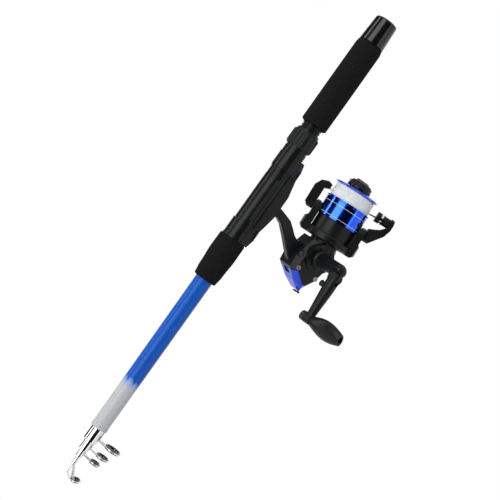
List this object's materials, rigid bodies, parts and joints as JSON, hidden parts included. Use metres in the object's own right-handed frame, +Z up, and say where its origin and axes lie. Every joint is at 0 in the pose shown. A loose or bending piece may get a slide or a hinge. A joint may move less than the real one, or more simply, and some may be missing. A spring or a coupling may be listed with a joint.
{
  "type": "telescopic fishing rod with spinning reel",
  "caption": "Telescopic fishing rod, closed, with foam grips, wire line guides and a spinning reel with a folding crank, bail and drag knob under the reel seat",
  "frame": {"origin": "centre of the butt's end face", "axes": "+X points out of the butt, so the closed rod lies along -X; +Z is up and the reel hangs below; the crank is on the -Y side"},
  "size_m": [0.5027, 0.1342, 0.1341],
  "materials": {
    "gloss_black": "gloss black moulded plastic",
    "foam": "fine-pored EVA foam",
    "pad_rubber": "soft rubber",
    "blue_lacquer": "clear-coated blue lacquer on fibre",
    "grey_fibre": "clear-coated grey fibre",
    "satin_black": "satin black moulded plastic",
    "chrome": "polished chrome plate",
    "ring_black": "polished black ceramic",
    "blue_cover": "glossy blue plastic",
    "blue_plate": "blue anodised, bright",
    "steel": "plain steel",
    "zinc": "die-cast",
    "brass": "turned brass",
    "line": "clear nylon line"
  },
  "bodies": {
    "blank": {"butt_cap": "gloss_black", "cap_pad": "pad_rubber", "rear_grip": "foam", "butt_tube": "blue_lacquer", "seat_barrel": "satin_black", "fixed_hood": "gloss_black", "foregrip": "foam", "reel_housing": "satin_black", "side_cover": "satin_black", "rear_cover": "blue_cover", "cover_screws": "steel", "gear_bushings": "brass", "pinion_bearing": "steel"},
    "hood": {"slide_hood": "gloss_black"},
    "nut": {"lock_nut": "gloss_black"},
    "second": {"section_4": "grey_fibre", "guide_4_frame": "chrome", "guide_4_ring": "ring_black"},
    "third": {"section_3": "grey_fibre", "guide_3_frame": "chrome", "guide_3_ring": "ring_black"},
    "fourth": {"section_2": "grey_fibre", "guide_2_frame": "chrome", "guide_2_ring": "ring_black"},
    "tip": {"tip_section": "grey_fibre", "tip_top_frame": "chrome", "tip_top_ring": "ring_black"},
    "crank": {"drive_gear": "zinc", "crank_shank": "satin_black", "handle_screw_cap": "satin_black"},
    "crosswind": {"crosswind_gear": "zinc"},
    "rotor": {"rotor": "satin_black", "rotor_nut": "steel", "pinion": "brass", "ratchet_wheel": "steel", "bail_pivot_screws": "steel", "bail_spring": "steel"},
    "bail": {"bail_holder": "satin_black", "roller_arm": "satin_black", "bail_wire": "steel", "roller_screw": "steel"},
    "roller": {"line_roller": "chrome"},
    "shaft": {"main_shaft": "steel", "traverse_block": "zinc"},
    "spool": {"spool": "blue_plate", "line_winding": "line", "line_clip": "gloss_black", "drag_washers": "pad_rubber"},
    "drag": {"drag_knob": "gloss_black", "drag_spring": "steel"},
    "arm": {"crank_arm": "satin_black", "fold_pin": "steel", "knob_spindle": "steel"},
    "button": {"fold_button": "satin_black"},
    "handle": {"crank_knob": "gloss_black"},
    "switch": {"anti_reverse_lever": "satin_black", "anti_reverse_shaft": "steel"}
  },
  "joints": [
    {"name": "nut_spin", "type": "hinge", "parent": "hood", "child": "nut", "pos_m": [-0.13, 0, 0], "axis": [1, 0, 0], "range_deg": [0, 1008]},
    {"name": "hood_slide", "type": "slide", "parent": "blank", "child": "hood", "axis": [1, 0, 0], "range_m": [0, 0.007]},
    {"name": "section_4_slide", "type": "slide", "parent": "blank", "child": "second", "axis": [-1, 0, 0], "range_m": [0, 0.372]},
    {"name": "section_3_slide", "type": "slide", "parent": "second", "child": "third", "axis": [-1, 0, 0], "range_m": [0, 0.3855]},
    {"name": "section_2_slide", "type": "slide", "parent": "third", "child": "fourth", "axis": [-1, 0, 0], "range_m": [0, 0.3958]},
    {"name": "tip_slide", "type": "slide", "parent": "fourth", "child": "tip", "axis": [-1, 0, 0], "range_m": [0, 0.4036]},
    {"name": "crank_turn", "type": "hinge", "parent": "blank", "child": "crank", "pos_m": [-0.20856, 0, -0.07601], "axis": [0, 1, 0], "continuous": true},
    {"name": "rotor_spin", "type": "hinge", "parent": "blank", "child": "rotor", "pos_m": [-0.2083, 0, -0.081], "axis": [0.9986, 0, 0.0523], "continuous": true},
    {"name": "crosswind_spin", "type": "hinge", "parent": "blank", "child": "crosswind", "pos_m": [-0.22262, 0, -0.07914], "axis": [0, 1, 0], "continuous": true},
    {"name": "bail_flip", "type": "hinge", "parent": "rotor", "child": "bail", "pos_m": [-0.16636, 0, -0.0788], "axis": [0.0462, -0.4695, -0.8817], "range_deg": [0, 115]},
    {"name": "line_roller_spin", "type": "hinge", "parent": "bail", "child": "roller", "pos_m": [-0.14487, -0.0154, -0.10668], "axis": [-0.0462, 0.4695, 0.8817], "continuous": true},
    {"name": "spool_stroke", "type": "slide", "parent": "blank", "child": "shaft", "axis": [0.9986, 0, 0.0523], "range_m": [-0.011, 0]},
    {"name": "spool_drag", "type": "hinge", "parent": "shaft", "child": "spool", "pos_m": [-0.14838, 0, -0.07786], "axis": [0.9986, 0, 0.0523], "continuous": true},
    {"name": "drag_knob_turn", "type": "hinge", "parent": "shaft", "child": "drag", "pos_m": [-0.1324, 0, -0.07702], "axis": [0.9986, 0, 0.0523], "range_deg": [-720, 180]},
    {"name": "crank_fold", "type": "hinge", "parent": "crank", "child": "arm", "pos_m": [-0.21555, -0.057, -0.07637], "axis": [0.0485, 0.3746, -0.9259], "range_deg": [0, 32]},
    {"name": "fold_button_press", "type": "slide", "parent": "arm", "child": "button", "axis": [0.0196, -0.9272, -0.3741], "range_m": [0, 0.001]},
    {"name": "knob_spin", "type": "hinge", "parent": "arm", "child": "handle", "pos_m": [-0.2581, -0.07554, -0.08611], "axis": [-0.0196, 0.9272, 0.3741], "continuous": true},
    {"name": "anti_reverse", "type": "hinge", "parent": "blank", "child": "switch", "pos_m": [-0.2083, -0.007, -0.081], "axis": [0.9986, 0, 0.0523], "range_deg": [-14, 14]}
  ],
  "couplings": [
    {"joint": "hood_slide", "follows": "nut_spin", "m_per_rad": 0.00039789},
    {"joint": "rotor_spin", "follows": "crank_turn", "ratio": 4},
    {"joint": "crosswind_spin", "follows": "crank_turn", "ratio": -0.5}
  ]
}
